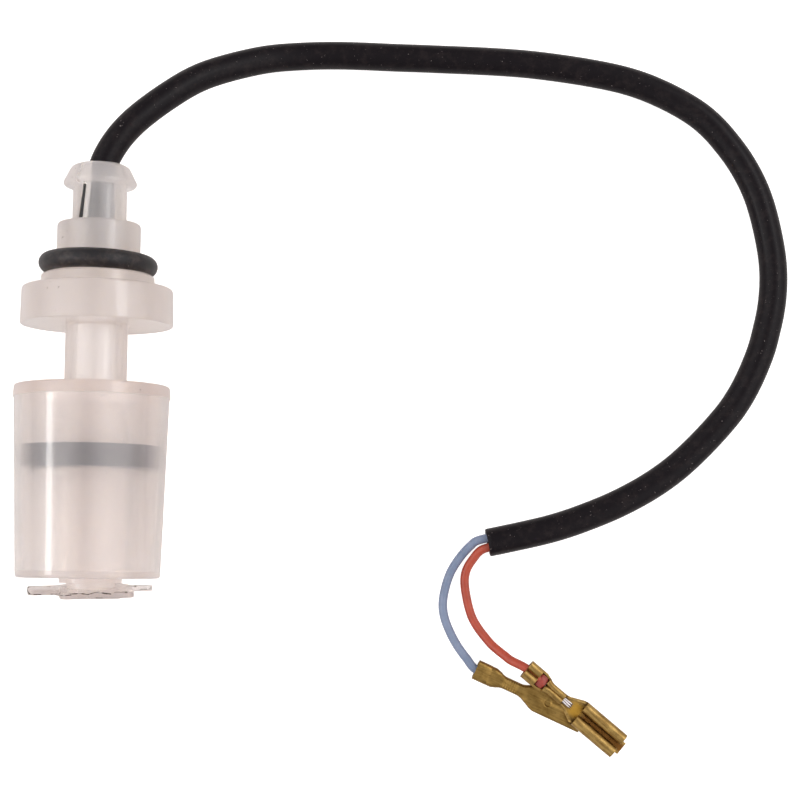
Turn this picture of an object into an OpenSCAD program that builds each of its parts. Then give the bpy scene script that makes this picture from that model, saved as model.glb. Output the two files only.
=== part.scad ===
// Snap-in float level switch with a sleeved two-wire lead and crimped tab receptacles.
// The stem lies along Y, head towards +Y, and +Z points up from the surface the switch lies on.
// The origin is the centre of the flange's upper face, where the switch beds against its wall.

/* [Flange] */
// Diameter of the flange
flange_d = 20.6; // [19:0.1:24]
// Thickness of the flange
flange_t = 5.15; // [4:0.05:7]
// Draft of the flange's rim, on the radius
flange_draft = 0.1; // [0:0.05:0.4]
// Radius of the flange's upper edge
flange_edge_r = 0.5; // [0.4:0.1:1.4]
// Radius of the flange's lower edge
flange_foot_r = 0.2; // [0.1:0.05:0.6]

/* [Seal seat] */
// Diameter of the shoulder that the O-ring rests on
shoulder_d = 15.3; // [14.4:0.1:17]
// Height of the shoulder above the flange
shoulder_h = 1.7; // [1:0.1:3]
// Diameter of the boss that carries the O-ring
boss_d = 11.3; // [10.6:0.1:12.5]
// Height of the boss above the flange
boss_h = 8.8; // [8:0.1:12]
// Radius of the boss's upper edge
boss_edge_r = 0.4; // [0.2:0.1:1.6]
// Depth of the seat for the O-ring below the boss's surface
ring_seat_depth = 0.2; // [0.2:0.05:0.5]
// Section diameter of the O-ring
o_ring_section = 2.62; // [2:0.02:3.2]
// Squeeze of the O-ring against its seat
o_ring_squeeze = 0.04; // [0:0.02:0.4]
// Tilt of the O-ring as it sits on the boss
o_ring_tilt = 1.1; // [0:0.1:3]

/* [Snap head] */
// Diameter of the neck
neck_d = 7.35; // [6.8:0.05:8]
// Length of the neck between the boss and the barb
neck_l = 5.05; // [3:0.05:6]
// Largest diameter of the barb
barb_d = 10; // [9:0.05:10.6]
// Height of the barb
barb_h = 3.05; // [2.6:0.05:4]
// Diameter of the flat at the barb's tip
barb_tip_d = 6; // [5.6:0.1:6.8]
// Play of the lead's sleeve in the bore of the head, on the radius
head_play = 0.2; // [0.1:0.05:0.4]
// Width of the slot between the snap fingers, at its root
slot_w = 0.65; // [0.4:0.05:1]
// Width of the slit through the barb
slit_w = 0.14; // [0.1:0.02:0.3]
// Turn of the slots about the stem
slot_turn = 41; // [0:1:90]
// How far the slots lean sideways between the root and the barb
slot_lean = 0.55; // [0:0.05:0.8]

/* [Stem] */
// Diameter of the stem
stem_d = 8.4; // [8:0.1:9]
// Length of the stem below the flange
stem_l = 36.8; // [34:0.1:44]
// Bore of the stem, for the reed switch
stem_bore_d = 5.2; // [5:0.1:5.8]
// Thickness of the stem's closed end
stem_end_t = 5; // [3.5:0.1:7]
// Fillet where the stem meets the flange
stem_root_r = 0.5; // [0.2:0.1:1]

/* [Retaining clip] */
// Thickness of the clip
clip_t = 0.75; // [0.6:0.05:1]
// Radius out to the tips of the clip
clip_reach = 8.3; // [7:0.1:9.4]
// Width of the clip's front bridge
bridge_w = 9.6; // [7:0.1:11]
// Width of the clip's broad ear
ear_w = 5.6; // [3:0.1:6.4]
// Width of the clip's narrow ear at its root
slim_ear_w = 3; // [2:0.1:5]
// Width of the clip's narrow ear at its tip
slim_tip_w = 1; // [0.6:0.1:2]
// Depth of the groove below the stem's surface
groove_depth = 0.95; // [0.6:0.05:1.1]
// Thickness of the stem's lip below the groove
lip_t = 0.4; // [0.3:0.05:1.2]
// Radial play between the clip and the groove
clip_play = 0.08; // [0.05:0.01:0.2]
// Tilt of the clip in its groove
clip_tilt = 5.5; // [0:0.5:6]
// Lean of the clip towards its broad ear
clip_lean = 0.9; // [0:0.1:2]
// Turn of the clip about the stem
clip_turn = 12; // [0:1:40]

/* [Float] */
// Height of the float's cup
cup_h = 24.2; // [22:0.05:27]
// How far the float's lid stands out beyond the flange, on the radius
lid_past_flange = 0.25; // [0:0.05:0.6]
// How far the lid overhangs the cup's rim, on the radius
lid_lip = 0.15; // [0.05:0.01:0.3]
// Taper of the cup from its rim to its bottom, on the radius
cup_taper = 0.75; // [0:0.05:1]
// Wall of the cup
cup_wall = 0.9; // [0.7:0.05:1.1]
// Thickness of the cup's bottom
cup_floor_t = 1; // [0.7:0.1:1.5]
// Radius of the cup's lower edge
cup_edge_r = 0.45; // [0.2:0.05:0.6]
// Play between the stem and the float's bore, on the radius
float_play = 0.8; // [0.7:0.05:1]
// Wall of the tube inside the float
tube_wall = 0.9; // [0.85:0.05:1.1]
// Thickness of the lid
lid_t = 1.64; // [1.2:0.02:2.4]
// Draft of the lid's rim, on the radius
lid_draft = 0.1; // [0:0.02:0.2]
// Depth of the lid's plug inside the cup
plug_h = 1.1; // [0.6:0.1:2]
// Sideways shift of the float on the stem
float_shift = -0.36; // [-0.5:0.02:0.5]
// Gap between the float and the clip's middle plane, as the float lies
float_gap = 1.46; // [1:0.02:2]

/* [Magnet] */
// Thickness of the ring magnet
magnet_t = 3; // [2:0.1:4]
// Gap between the magnet's rim and the cup's wall, at the magnet's lower face
magnet_gap = 0.09; // [0.05:0.01:0.6]
// Play between the magnet and the float's tube
magnet_play = 0.1; // [0.05:0.01:0.15]
// Depth of the magnet's upper face below the cup's rim
magnet_depth = 6.5; // [3:0.1:10]
// Height of the collar that carries the magnet
collar_h = 1.2; // [0.8:0.1:3]
// Radial width of the collar
collar_w = 1.1; // [0.8:0.1:1.6]

/* [Lead] */
// Wall of the sleeve
sleeve_wall = 0.45; // [0.35:0.05:0.6]
// Play between the pair of wires and the sleeve's bore, on the radius
sleeve_play = 0.24; // [0.2:0.01:0.3]
// Gap between the potting and the sleeve's end inside the head
sleeve_stop_gap = 0.35; // [0.1:0.05:1]
// Diameter of each insulated wire
wire_d = 1.22; // [1:0.02:1.24]
// Gap between the two wires in the sleeve
wire_gap = 0.08; // [0.04:0.01:0.12]

/* [Tab receptacles] */
// Thickness of the brass strip
strip_t = 0.35; // [0.25:0.05:0.4]
// Width of the receptacle's box
box_w = 3.85; // [3.6:0.05:4.2]
// Length of the receptacle's box
box_l = 6.9; // [6:0.1:8]
// Height of the receptacle's box
box_h = 2.2; // [2:0.05:2.4]
// Gap between the two rolled edges
roll_gap = 0.53; // [0.3:0.01:0.7]
// Length of the tongue beyond the rolled edges
tongue_l = 0.7; // [0.3:0.1:1.2]
// Length of the transition between the crimp and the box
throat_l = 2.9; // [2:0.1:4]
// Length of the crimp on the strands
core_crimp_l = 3.1; // [2:0.1:4]
// Length of the open floor between the two crimps
window_l = 1.4; // [1:0.1:2]
// Length of the crimp on the insulation
grip_l = 2; // [1.4:0.1:3]
// Width of the crimp on the insulation
grip_w = 2.74; // [2.6:0.02:3]
// Width of the crimp on the strands
core_crimp_w = 1.7; // [1.5:0.05:1.9]
// Diameter of the locking dimple
dimple_d = 1; // [0.6:0.05:1.4]
// Diameter of one strand
strand_d = 0.25; // [0.2:0.01:0.26]

/* [Reed switch] */
// Diameter of the glass capsule
capsule_d = 2.2; // [1.8:0.05:2.3]
// Length of the glass capsule
capsule_l = 14; // [10:0.5:18]
// Wall of the glass capsule
capsule_wall = 0.3; // [0.2:0.05:0.4]
// Diameter of the reed switch's leads
reed_lead_d = 0.6; // [0.4:0.05:0.7]
// Width of a reed blade
blade_w = 1.1; // [0.8:0.05:1.2]
// Thickness of a reed blade
blade_t = 0.2; // [0.15:0.01:0.25]
// Overlap of the two blades
blade_overlap = 1.6; // [1:0.1:3]
// Distance of the capsule's middle below the flange
capsule_drop = 14; // [11:0.5:16]
// Wall of the sleeve that cushions the capsule
cushion_wall = 0.2; // [0.1:0.02:0.25]
// Height of the potting above the flange's lower face
potting_h = 9.7; // [6:0.1:9.8]

/* [Hidden] */
$fn = 64;

fit = 0.05;                       // play of a push fit
seat = 0.02;                      // play where two faces rest on each other
eps = 0.5;                        // how far a cut runs past a face
chamfer = 0.2;
arc_steps = 5;

// Levels along the stem
head_tip_y = boss_h + neck_l + barb_h;
barb_low_y = boss_h + neck_l;
stem_end_y = -flange_t - stem_l;
groove_h = clip_t + stem_d * norm([sin(clip_tilt), sin(clip_lean)]) + 2 * fit;
groove_low_y = stem_end_y + lip_t;
clip_y = groove_low_y + groove_h / 2;
bore_end_y = stem_end_y + stem_end_t;
sleeve_bore_d = 2 * wire_d + wire_gap + 2 * sleeve_play;
sleeve_d = sleeve_bore_d + 2 * sleeve_wall;
head_bore_d = sleeve_d + 2 * head_play;
potting_top_y = -flange_t + potting_h;
sleeve_stop_y = potting_top_y + sleeve_stop_gap;
flare_l = 0.8;
ring_seat_d = boss_d - 2 * ring_seat_depth;
o_ring_r = ring_seat_d / 2 - o_ring_squeeze + o_ring_section / 2;
o_ring_y = shoulder_h + o_ring_section / 2 + o_ring_r * sin(o_ring_tilt) + seat;
ring_seat_top_y = o_ring_y + o_ring_section / 2 + o_ring_r * sin(o_ring_tilt) + fit;

// The surface that the switch lies on, and the float's place on the stem
table_z = -flange_d / 2;
lid_d = flange_d + 2 * lid_past_flange;
cup_top_d = lid_d - 2 * lid_lip;
cup_bottom_d = cup_top_d - 2 * cup_taper;
float_x = float_shift;
float_z = (lid_d - flange_d) / 2;
cup_bottom_y = clip_y + float_gap;
cup_rim_y = cup_bottom_y + cup_h;
lid_top_y = cup_rim_y + seat + lid_t;
magnet_top_y = cup_rim_y - magnet_depth;
collar_top_y = magnet_top_y - magnet_t - magnet_play;
float_bore_d = stem_d + 2 * float_play;
tube_d = float_bore_d + 2 * tube_wall;
cup_draft = cup_taper / (cup_h - cup_floor_t);
magnet_d = cup_top_d - 2 * (cup_wall + magnet_gap + cup_draft * (magnet_depth + magnet_t));

// Places of the reed switch inside the stem's bore
wire_x = (wire_d + wire_gap) / 2;
cushion_d = capsule_d + 2 * cushion_wall;
capsule_play = 0.15;              // room round the cushioned capsule
reed_x = -(stem_bore_d / 2 - cushion_d / 2 - capsule_play);
return_x = reed_x + cushion_d / 2 + capsule_play + wire_d / 2;
capsule_y = -flange_t - capsule_drop;
capsule_top_y = capsule_y + capsule_l / 2;
capsule_low_y = capsule_y - capsule_l / 2;
reed_lead_l = 4;
ferrule_l = 3;
ferrule_wall = 0.25;
ferrule_d = wire_d + 2 * ferrule_wall;
ferrule_upper_y = capsule_top_y + reed_lead_l;
ferrule_lower_y = capsule_low_y - reed_lead_l;
capsule_bore_d = capsule_d - 2 * capsule_wall;

// The tab receptacle, along its own X from the tail
core_crimp_x = grip_l + window_l;
throat_x = core_crimp_x + core_crimp_l;
box_x = throat_x + throat_l;
tongue_x = box_x + box_l;
strip_w = 1.5;
window_w = 2.5;
wire_rise = strip_t + wire_d / 2 + fit;
strand_rise = strip_t + 1.5 * strand_d + 3 * fit;
strand_pitch = strand_d + 0.02;
strand_tail = 1.6;
roll_r = (box_w - roll_gap) / 4;
terminal_blue_at = [52.1, -51.25, table_z + box_h];
terminal_blue_turn = -24.3;
terminal_red_at = [59, -51, table_z + box_h + seat];
terminal_red_turn = -39.5;

// Route of the sleeve: X, Y and how far it has come down from the stem's axis to the table
sleeve_lie_z = table_z + sleeve_d / 2;
sleeve_free_route = [[1.5, 19.5, 0.02], [4.5, 23.5, 0.11], [9.5, 28, 0.33], [14, 31, 0.54],
                     [20.5, 33.5, 0.8], [25.5, 34.5, 0.94], [32, 34.9, 1], [40, 34.7, 1],
                     [47.5, 34.5, 1], [58.5, 34, 1], [69.5, 32.5, 1], [76.5, 30.5, 1], [83, 27, 1],
                     [87, 23, 1], [90, 18.5, 1], [92, 13.5, 1], [93.4, 6.5, 1], [93.4, 1, 1],
                     [92.5, -3.8, 1], [91, -8.5, 1], [87.5, -15, 1], [80.5, -22.5, 1],
                     [74, -27, 1], [67.5, -30, 1], [61.5, -32, 1], [53.6, -33.8, 1]];
sleeve_route = concat([[0, sleeve_stop_y, 0], [0, (sleeve_stop_y + head_tip_y) / 2, 0],
                       [0, head_tip_y - 1.4, 0]],
                      [for (p = sleeve_free_route) [p.x, p.y, p.z * sleeve_lie_z]]);

// Routes of the wires: X, Y and height above the surface that a wire lies on
blue_free_route = [[52, -33.6, 1.1], [50.5, -35, 0.6], [48.5, -38, 0.1], [47.5, -42, 0],
                   [48, -45, 0.05], [49.5, -48, 0.2], [51, -50, 0.4]];
red_free_route = [[52.5, -35, 1], [51, -37, 0.5], [50.5, -39.5, 0.1], [51.5, -44, 0.05],
                  [53.5, -47, 0.5], [55, -48.5, 1.1], [57, -50, 2]];
wire_lie_z = table_z + wire_d / 2;

// Smooth curve through the points, with one more point in each span
function between(p, i, n) =
    let (a = p[max(i - 1, 0)], b = p[i], c = p[i + 1], d = p[min(i + 2, n - 1)])
    (b + c) * 9 / 16 - (a + d) / 16;
function not_below(p, low) = [p.x, p.y, max(p.z, low)];
function smooth(p, low) = let (n = len(p))
    concat([for (i = [0 : n - 2]) each [p[i], not_below(between(p, i, n), low)]], [p[n - 1]]);
function unit(v) = v / norm(v);
function run_at(p, i) = unit(p[min(i + 1, len(p) - 1)] - p[max(i - 1, 0)]);
function side_at(p, i) = unit(cross([0, 0, 1], run_at(p, i)));
function rise_at(p, i) = cross(run_at(p, i), side_at(p, i));
function ring_at(p, i, r, sides) = [for (k = [0 : sides - 1])
    p[i] + r * cos(360 * k / sides) * side_at(p, i) + r * sin(360 * k / sides) * rise_at(p, i)];

sleeve_path = smooth(sleeve_route, sleeve_lie_z);
sleeve_last = len(sleeve_path) - 1;
mouth_rings = 3;
cord_sides = 8;

// The last stretch inside the sleeve's mouth, shifted to the wire's side
function in_mouth(shift) = [for (i = [sleeve_last - mouth_rings : sleeve_last])
    sleeve_path[i] + shift * side_at(sleeve_path, i)
    + (i == sleeve_last - mouth_rings ? fit * run_at(sleeve_path, i) : [0, 0, 0])];
function at_terminal(place, turn, x, rise) =
    place + [x * cos(turn), x * sin(turn), rise];
function wire_path(shift, route, place, turn, rise) = concat(
    in_mouth(shift),
    smooth([for (p = route) [p.x, p.y, p.z + wire_lie_z]], wire_lie_z),
    [for (x = [-0.1, grip_l + window_l / 2]) at_terminal(place, turn, x, rise)]);
blue_path = wire_path(-wire_x, blue_free_route, terminal_blue_at, terminal_blue_turn, -wire_rise);
red_path = wire_path(wire_x, red_free_route, terminal_red_at, terminal_red_turn, wire_rise);

// Points of an arc, for the outline of a turned part
function arc(centre, r, from, to) = [for (i = [0 : arc_steps])
    let (a = from + (to - from) * i / arc_steps) centre + r * [cos(a), sin(a)]];

// A turned part: the outline is in radius and distance along Y
module turned() {
    rotate([-90, 0, 0]) rotate_extrude() children();
}

// A round bar or hole along Y, from low to high
module rod_y(d, low, high) {
    translate([0, low, 0]) rotate([-90, 0, 0]) cylinder(d = d, h = high - low);
}

module tube_along(p, r) {
    n = len(p);
    points = [for (i = [0 : n - 1]) each ring_at(p, i, r, cord_sides)];
    walls = [for (i = [0 : n - 2]) for (k = [0 : cord_sides - 1])
        let (a = i * cord_sides + k, b = i * cord_sides + (k + 1) % cord_sides)
        each [[a, b, a + cord_sides], [b, b + cord_sides, a + cord_sides]]];
    ends = [for (k = [1 : cord_sides - 2]) each
        [[0, k + 1, k], [(n - 1) * cord_sides, (n - 1) * cord_sides + k, (n - 1) * cord_sides + k + 1]]];
    polyhedron(points, concat(walls, ends), convexity = 10);
}

// The float and its magnet share an axis that lies a little off the stem's
module on_float_axis() {
    translate([float_x, 0, float_z]) children();
}

module switch_body() {
    flange_r = flange_d / 2;
    outline = concat(
        [[0, stem_end_y], [stem_d / 2 - chamfer, stem_end_y], [stem_d / 2, stem_end_y + chamfer],
         [stem_d / 2, groove_low_y], [stem_d / 2 - groove_depth, groove_low_y],
         [stem_d / 2 - groove_depth, groove_low_y + groove_h], [stem_d / 2, groove_low_y + groove_h]],
        arc([stem_d / 2 + stem_root_r, -flange_t - stem_root_r], stem_root_r, 180, 90),
        arc([flange_r - flange_foot_r, -flange_t + flange_foot_r], flange_foot_r, -90, 0),
        arc([flange_r - flange_draft - flange_edge_r, -flange_edge_r], flange_edge_r, 0, 90),
        [[shoulder_d / 2, 0], [shoulder_d / 2, shoulder_h - chamfer],
         [shoulder_d / 2 - chamfer, shoulder_h], [ring_seat_d / 2, shoulder_h],
         [ring_seat_d / 2, ring_seat_top_y], [boss_d / 2, ring_seat_top_y]],
        arc([boss_d / 2 - boss_edge_r, boss_h - boss_edge_r], boss_edge_r, 0, 90),
        [[neck_d / 2, boss_h], [neck_d / 2, barb_low_y]],
        barb_outline(),
        [[0, head_tip_y]]);
    color([0.93, 0.89, 0.87]) difference() {
        turned() polygon(outline);
        rod_y(stem_bore_d, bore_end_y, potting_top_y);
        rod_y(head_bore_d, potting_top_y - seat, head_tip_y + eps);
        translate([0, head_tip_y - flare_l, 0]) rotate([-90, 0, 0])
            cylinder(d1 = head_bore_d, d2 = head_bore_d + flare_l, h = flare_l + seat);
        snap_slots();
    }
}

// The barb swells from the neck, tapers from its widest and closes in a dome
function barb_outline() =
    let (low_r = 0.18 * barb_h, wide = barb_d / 2, tip = barb_tip_d / 2, dome_r = 0.43 * barb_h)
    concat(arc([wide - low_r, barb_low_y + low_r], low_r, -90, 10),
           arc([tip, head_tip_y - dome_r], dome_r, 20, 90));

// Two opposite slots part the head into snap fingers; each is a wedge below and a slit above
module snap_slots() {
    edge = slot_w / 2;
    wedge_top = barb_low_y + 0.8;
    slit = edge + slot_lean;
    rotate([0, -slot_turn, 0]) translate([0, 0, -barb_d]) linear_extrude(2 * barb_d)
        polygon([[-edge, boss_h], [edge, boss_h], [slit, wedge_top], [slit, head_tip_y + eps],
                 [slit - slit_w, head_tip_y + eps], [slit - slit_w, wedge_top]]);
}

module o_ring() {
    color([0.16, 0.15, 0.16]) difference() {
        translate([0, o_ring_y, 0]) rotate([0, 0, -o_ring_tilt])
            turned() translate([o_ring_r, 0]) circle(d = o_ring_section);
        rod_y(ring_seat_d + 2 * seat, 0, boss_h);
    }
}

module float_cup() {
    top = cup_top_d / 2;
    low = cup_bottom_d / 2;
    outline = concat(
        [[float_bore_d / 2, cup_bottom_y]],
        arc([low - cup_edge_r, cup_bottom_y + cup_edge_r], cup_edge_r, -90, 0),
        [[top, cup_rim_y], [top - cup_wall, cup_rim_y], [low - cup_wall, cup_bottom_y + cup_floor_t],
         [tube_d / 2, cup_bottom_y + cup_floor_t], [tube_d / 2, collar_top_y - collar_h],
         [tube_d / 2 + collar_w, collar_top_y - collar_h], [tube_d / 2 + collar_w, collar_top_y],
         [tube_d / 2, collar_top_y], [tube_d / 2, cup_rim_y], [float_bore_d / 2, cup_rim_y]]);
    color([0.91, 0.87, 0.85]) on_float_axis() turned() polygon(outline);
}

module float_lid() {
    low_y = cup_rim_y + seat;
    rim = lid_d / 2;
    plug = cup_top_d / 2 - cup_wall - 2 * fit;
    lid_edge_r = 0.3;
    outline = concat(
        [[float_bore_d / 2, low_y], [plug - cup_wall, low_y], [plug - cup_wall, cup_rim_y - plug_h],
         [plug, cup_rim_y - plug_h], [plug, low_y], [rim, low_y]],
        arc([rim - lid_draft - lid_edge_r, lid_top_y - lid_edge_r], lid_edge_r, 0, 90),
        [[float_bore_d / 2, lid_top_y]]);
    color([0.92, 0.88, 0.86]) on_float_axis() turned() polygon(outline);
}

module ring_magnet() {
    color([0.2, 0.19, 0.2]) on_float_axis() difference() {
        rod_y(magnet_d, magnet_top_y - magnet_t, magnet_top_y);
        rod_y(tube_d + 2 * magnet_play, magnet_top_y - magnet_t - eps, magnet_top_y + eps);
    }
}

// An open clip with a broad front bridge, a broad ear and a narrow one, pushed on from the front
module retaining_clip() {
    bore = stem_d - 2 * groove_depth + 2 * clip_play;
    mouth = 0.86 * bore;
    ring_d = bore + 4.4;
    corner = 1;
    color([0.9, 0.87, 0.84]) translate([0, clip_y, 0]) rotate([clip_tilt, 0, clip_lean]) rotate([0, clip_turn, 0])
        rotate([90, 0, 0]) translate([0, 0, -clip_t / 2]) linear_extrude(clip_t) difference() {
            union() {
                circle(d = ring_d);
                rounded_bar([-bridge_w * 0.45, 0], [bridge_w * 0.55, clip_reach], corner);
                rounded_bar([-clip_reach, -ear_w * 0.6], [0, ear_w * 0.4], corner);
                polygon([[0, -slim_ear_w / 2], [clip_reach - slim_tip_w / 2, -slim_tip_w / 2],
                         [clip_reach - slim_tip_w / 2, slim_tip_w / 2], [0, slim_ear_w / 2]]);
                translate([clip_reach - slim_tip_w / 2, 0]) circle(d = slim_tip_w);
            }
            circle(d = bore);
            translate([-mouth / 2, -2 * clip_reach]) square([mouth, 2 * clip_reach]);
        }
}

module rounded_bar(low, high, r) {
    translate(low + [r, 0]) square(high - low - [2 * r, 0]);
    translate(low + [0, r]) square(high - low - [0, 2 * r]);
    for (x = [low.x + r, high.x - r], y = [low.y + r, high.y - r]) translate([x, y]) circle(r = r);
}

// Resin fills the stem's bore round the reed switch and its wires
module potting_plug() {
    color([0.88, 0.85, 0.8]) difference() {
        rod_y(stem_bore_d - 2 * seat, bore_end_y + seat, potting_top_y - 2 * seat);
        translate([reed_x, 0, 0]) {
            rod_y(cushion_d + 2 * seat, capsule_low_y - seat, capsule_top_y + seat);
            rod_y(reed_lead_d + 2 * seat, ferrule_lower_y, ferrule_upper_y);
            rod_y(wire_d + 2 * seat, ferrule_upper_y, potting_top_y + eps);
        }
        translate([return_x, 0, 0]) rod_y(wire_d + 2 * seat, ferrule_lower_y, potting_top_y + eps);
        ferrule_upper_body(seat);
        ferrule_lower_body(seat);
    }
}

module reed_capsule() {
    hole = reed_lead_d / 2 + seat;
    seal = 1;
    color([0.8, 0.9, 0.88, 0.5]) translate([reed_x, 0, 0]) turned() polygon([
        [hole, capsule_low_y], [capsule_d / 2, capsule_low_y], [capsule_d / 2, capsule_top_y],
        [hole, capsule_top_y], [hole, capsule_top_y - seal],
        [capsule_bore_d / 2, capsule_top_y - 2 * seal], [capsule_bore_d / 2, capsule_low_y + 2 * seal],
        [hole, capsule_low_y + seal]]);
}

module reed_cushion() {
    inset = 1;
    color([0.95, 0.95, 0.93]) translate([reed_x, 0, 0]) difference() {
        rod_y(cushion_d, capsule_low_y + inset, capsule_top_y - inset);
        rod_y(capsule_d + 2 * seat, capsule_low_y, capsule_top_y);
    }
}

// A round lead outside the capsule and a flat blade inside it
module reed_blade(end_y, toward, rise) {
    blade_root_y = end_y - toward * 1.5;
    blade_tip_y = capsule_y - toward * blade_overlap / 2;
    low = min(blade_root_y, blade_tip_y);
    color([0.75, 0.74, 0.7]) translate([reed_x, 0, 0]) union() {
        rod_y(reed_lead_d, min(end_y + toward * reed_lead_l, blade_root_y),
              max(end_y + toward * reed_lead_l, blade_root_y));
        translate([-blade_w / 2, low, rise]) cube([blade_w, abs(blade_root_y - blade_tip_y), blade_t]);
    }
}

module reed_blade_upper() {
    reed_blade(capsule_top_y, 1, fit / 2);
}

module reed_blade_lower() {
    reed_blade(capsule_low_y, -1, -fit / 2 - blade_t);
}

// A ferrule joins the blue wire to the upper lead on the reed's axis
module ferrule_upper_body(play) {
    translate([reed_x, 0, 0])
        rod_y(ferrule_d + 2 * play, ferrule_upper_y - ferrule_l / 2 - play, ferrule_upper_y + ferrule_l / 2 + play);
}

module ferrule_upper() {
    color([0.72, 0.6, 0.35]) difference() {
        ferrule_upper_body(0);
        translate([reed_x, 0, 0]) {
            rod_y(wire_d + 2 * seat, ferrule_upper_y, ferrule_upper_y + ferrule_l);
            rod_y(reed_lead_d + 2 * seat, ferrule_upper_y - ferrule_l, ferrule_upper_y + seat);
        }
    }
}

// A bridging ferrule joins the lower lead to the red wire that comes down beside the capsule
module ferrule_lower_body(play) {
    low = ferrule_lower_y - ferrule_l / 2 - play;
    tall = ferrule_l + 2 * play;
    thick = ferrule_d + 2 * play;
    for (x = [reed_x + ferrule_d / 8, return_x]) translate([x, 0, 0]) rod_y(thick, low, low + tall);
    translate([reed_x, low, -thick / 2]) cube([return_x - reed_x, tall, thick]);
}

module ferrule_lower() {
    color([0.72, 0.6, 0.35]) difference() {
        ferrule_lower_body(0);
        translate([reed_x, 0, 0])
            rod_y(reed_lead_d + 2 * seat, ferrule_lower_y - seat, ferrule_lower_y + ferrule_l);
        translate([return_x, 0, 0]) rod_y(wire_d + 2 * seat, ferrule_lower_y, ferrule_lower_y + ferrule_l);
    }
}

module inner_wire_blue() {
    color([0.55, 0.6, 0.75]) translate([reed_x, 0, 0])
        rod_y(wire_d, ferrule_upper_y + seat, sleeve_stop_y - seat);
}

module inner_wire_red() {
    color([0.85, 0.33, 0.22]) translate([return_x, 0, 0])
        rod_y(wire_d, ferrule_lower_y + seat, sleeve_stop_y - seat);
}

// The sleeve is a tube with a solid run inside the head and an open mouth round the two wires
module lead_sleeve() {
    p = sleeve_path;
    n = len(p);
    m = mouth_rings + 1;
    outer = [for (i = [0 : n - 1]) each ring_at(p, i, sleeve_d / 2, cord_sides)];
    inner = [for (i = [n - 1 : -1 : n - m]) each ring_at(p, i, sleeve_bore_d / 2, cord_sides)];
    rings = n + m;
    walls = [for (i = [0 : rings - 2]) for (k = [0 : cord_sides - 1])
        let (a = i * cord_sides + k, b = i * cord_sides + (k + 1) % cord_sides)
        each [[a, b, a + cord_sides], [b, b + cord_sides, a + cord_sides]]];
    last = (rings - 1) * cord_sides;
    ends = [for (k = [1 : cord_sides - 2]) each [[0, k + 1, k], [last, last + k, last + k + 1]]];
    color([0.1, 0.09, 0.1]) polyhedron(concat(outer, inner), concat(walls, ends), convexity = 10);
}

module wire_blue() {
    color([0.55, 0.6, 0.75]) tube_along(blue_path, wire_d / 2);
}

module wire_red() {
    color([0.85, 0.33, 0.22]) tube_along(red_path, wire_d / 2);
}

// Seven strands run through the crimp and show beyond it
module strands() {
    start = grip_l + window_l / 2 + seat;
    color([0.8, 0.8, 0.82]) for (i = [0 : 6])
        translate([start, i == 0 ? 0 : strand_pitch * cos(60 * i),
                   strand_rise + (i == 0 ? 0 : strand_pitch * sin(60 * i))])
            rotate([0, 90, 0]) cylinder(d = strand_d, h = throat_x + strand_tail - start, $fn = 16);
}

// A brass receptacle lies with its floor at Z = 0 and its tail at X = 0
module terminal() {
    color([0.72, 0.56, 0.26]) {
        difference() {
            union() {
                strip_floor();
                lengthwise(0, grip_l) grip_section();
                lengthwise(core_crimp_x, core_crimp_l) core_crimp_section();
                for (side = [1, -1]) {
                    side_wall(side, throat_x, strip_w / 2, strand_rise + chamfer,
                              box_x, box_w / 2 - 0.02, box_h - roll_r);
                    side_wall(side, grip_l, window_w / 2, wire_rise,
                              core_crimp_x, core_crimp_w / 2, strand_rise);
                }
                lengthwise(box_x, box_l) box_section();
            }
            translate([box_x + box_l * 0.22, 0, -eps]) cylinder(d = dimple_d, h = eps + strip_t / 2);
        }
    }
}

module lengthwise(x, l) {
    translate([x, 0, 0]) rotate([90, 0, 90]) linear_extrude(l) children();
}

module strip_floor() {
    linear_extrude(strip_t) polygon([
        [0, -strip_w / 2], [grip_l - seat, -strip_w / 2], [grip_l, -window_w / 2],
        [core_crimp_x, -core_crimp_w / 2 + chamfer], [throat_x, -strip_w / 2], [box_x, -box_w / 2], [tongue_x, -box_w / 2],
        [tongue_x, -box_w / 4], [tongue_x + tongue_l, -box_w / 4 + chamfer],
        [tongue_x + tongue_l, box_w / 4 - chamfer], [tongue_x, box_w / 4], [tongue_x, box_w / 2],
        [box_x, box_w / 2], [throat_x, strip_w / 2], [core_crimp_x, core_crimp_w / 2 - chamfer],
        [grip_l, window_w / 2], [grip_l - seat, strip_w / 2], [0, strip_w / 2]]);
}

// Two ears close round the insulation and leave a seam on top
module grip_section() {
    ear_r = grip_w * 0.265;
    ear_x = grip_w / 2 - ear_r;
    seam = 0.3;
    difference() {
        union() {
            for (side = [1, -1]) translate([side * ear_x, wire_rise + 0.15]) circle(r = ear_r);
            translate([-ear_x, 0]) square([2 * ear_x, wire_rise + 0.15]);
            for (side = [1, -1]) translate([side * ear_x, ear_r * 0.6]) circle(r = ear_r * 0.6);
        }
        translate([0, wire_rise]) circle(d = wire_d + 2 * seat);
        translate([-seam / 2, wire_rise]) square([seam, grip_w]);
    }
}

// Two wings roll in over the strands and meet in a seam
module core_crimp_section() {
    wing_r = core_crimp_w / 4;
    difference() {
        union() {
            translate([-core_crimp_w / 2 + chamfer, 0]) square([core_crimp_w - 2 * chamfer, strand_rise + wing_r]);
            translate([-core_crimp_w / 2, chamfer]) square([core_crimp_w, strand_rise]);
            for (side = [1, -1]) translate([side * wing_r, strand_rise + chamfer + seat]) circle(r = wing_r);
        }
        translate([0, strand_rise]) circle(d = 3 * strand_pitch);
    }
}

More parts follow.
